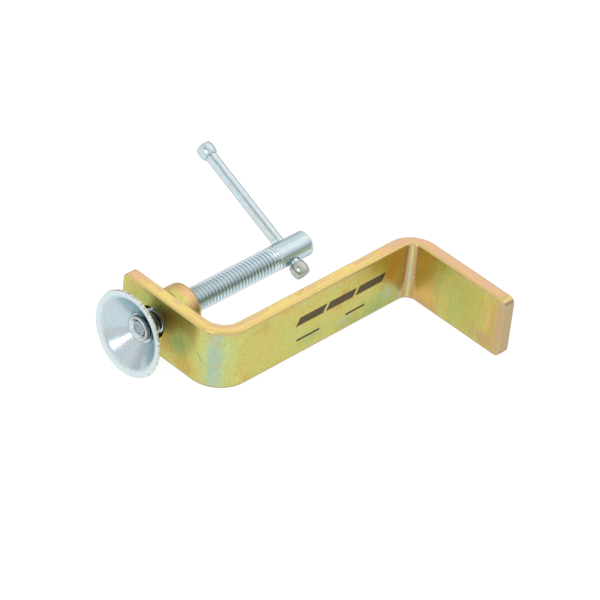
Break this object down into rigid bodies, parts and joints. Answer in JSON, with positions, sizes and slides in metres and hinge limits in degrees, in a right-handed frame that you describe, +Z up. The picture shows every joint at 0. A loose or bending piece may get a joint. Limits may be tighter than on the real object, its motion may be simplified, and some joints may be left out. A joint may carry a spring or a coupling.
{
  "type": "screw clamp",
  "caption": "Screw clamp on a Z-bent flat steel bar: welded nut, clamping screw with a loose pressed cup and a sliding tommy bar.",
  "frame": {"origin": "centre of the web's front face, the face that the hook arm is bent towards", "axes": "+X along the web to the hook arm, +Y back to the clamping screw, which runs parallel to X, +Z up across the width of the flat bar"},
  "size_m": [0.1301, 0.1473, 0.0456],
  "materials": {
    "yellow_zinc": "steel, zinc plated with yellow iridescent passivation",
    "bright_zinc": "steel, bright zinc plated"
  },
  "bodies": {
    "frame": {"frame_bar": "yellow_zinc", "weld_nut": "yellow_zinc", "weld_bead": "yellow_zinc"},
    "washer": {"retaining_washer": "bright_zinc"},
    "screw": {"clamp_screw": "bright_zinc"},
    "cup": {"swivel_cup": "bright_zinc"},
    "bar": {"tommy_bar": "bright_zinc", "far_knob": "bright_zinc", "near_knob": "bright_zinc"}
  },
  "joints": [
    {"name": "screw_feed", "type": "slide", "parent": "frame", "child": "washer", "axis": [-1, 0, 0], "range_m": [-0.00181, 0.04716]},
    {"name": "screw_turn", "type": "hinge", "parent": "washer", "child": "screw", "pos_m": [0.018, 0.0397, 0], "axis": [-1, 0, 0], "range_deg": [-361, 9361]},
    {"name": "cup_tilt", "type": "hinge", "parent": "washer", "child": "cup", "pos_m": [-0.06205, 0.0397, -0.0005], "axis": [0, 1, 0], "range_deg": [-10, 2.2]},
    {"name": "bar_slide", "type": "slide", "parent": "screw", "child": "bar", "axis": [0, 0.9135, 0.4067], "range_m": [-0.0233, 0.0009]}
  ],
  "couplings": [
    {"joint": "screw_turn", "follows": "screw_feed", "rad_per_m": 3463.7}
  ]
}
